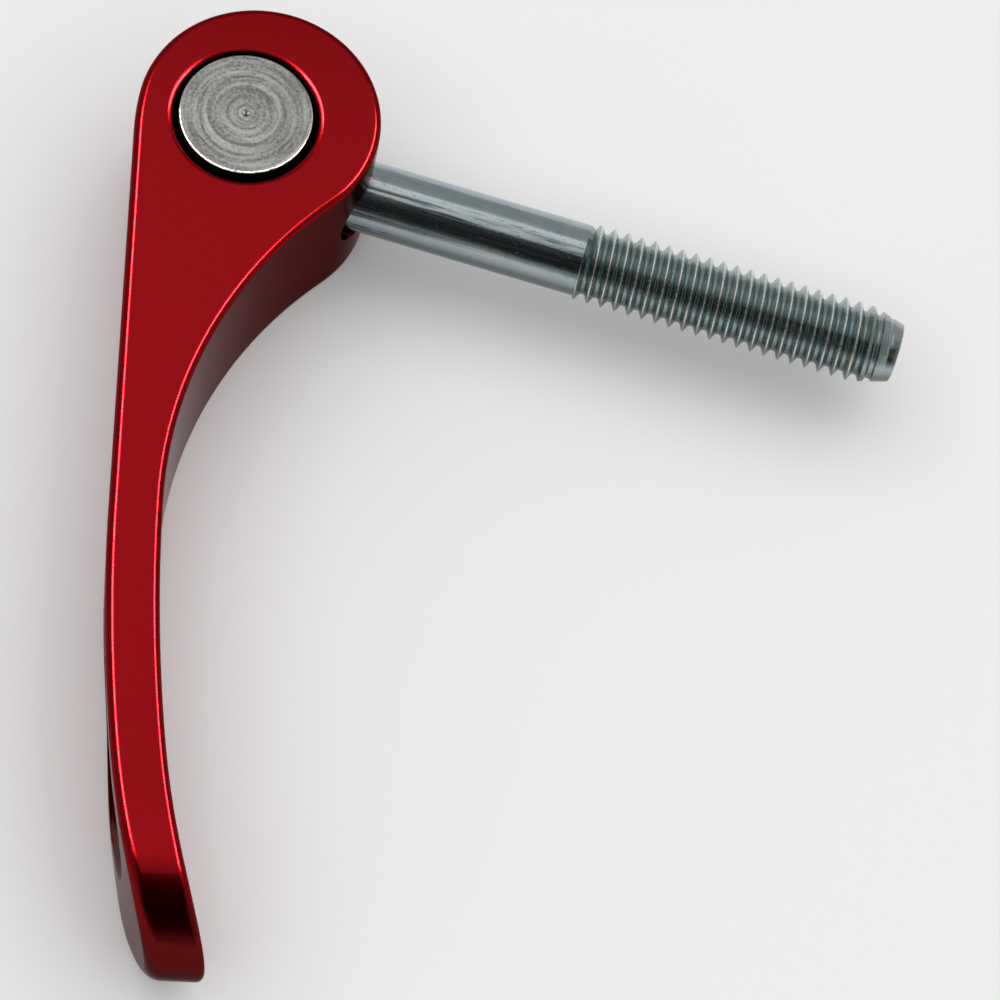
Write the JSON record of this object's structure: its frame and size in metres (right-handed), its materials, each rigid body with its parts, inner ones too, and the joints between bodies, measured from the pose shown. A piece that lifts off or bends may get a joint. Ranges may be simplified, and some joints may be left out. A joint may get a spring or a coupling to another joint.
{
  "type": "cam lever",
  "caption": "Cam clamping lever with an eccentric hub, a curved grip arm, a cross-drilled barrel pin and a threaded stud.",
  "frame": {"origin": "pivot axis of the barrel pin, in the plane of the side face that the lever lies on", "axes": "+Z along the pivot axis, up from the side it lies on; +X along the stud towards its free end; with the lever closed the arm points towards -Y"},
  "size_m": [0.0785, 0.0944, 0.0184],
  "materials": {
    "anodised_lever": "satin red anodised",
    "turned_steel": "fine turned rings on the end faces",
    "zinc_plated_steel": "bright zinc plated"
  },
  "bodies": {
    "pin_and_stud": {"barrel_pin": "turned_steel", "threaded_stud": "zinc_plated_steel"},
    "lever": {"lever": "anodised_lever"}
  },
  "joints": [
    {"name": "lever_pivot", "type": "hinge", "parent": "pin_and_stud", "child": "lever", "pos_m": [0, 0, 0.009], "axis": [0, 0, -1], "range_deg": [0, 105]}
  ]
}
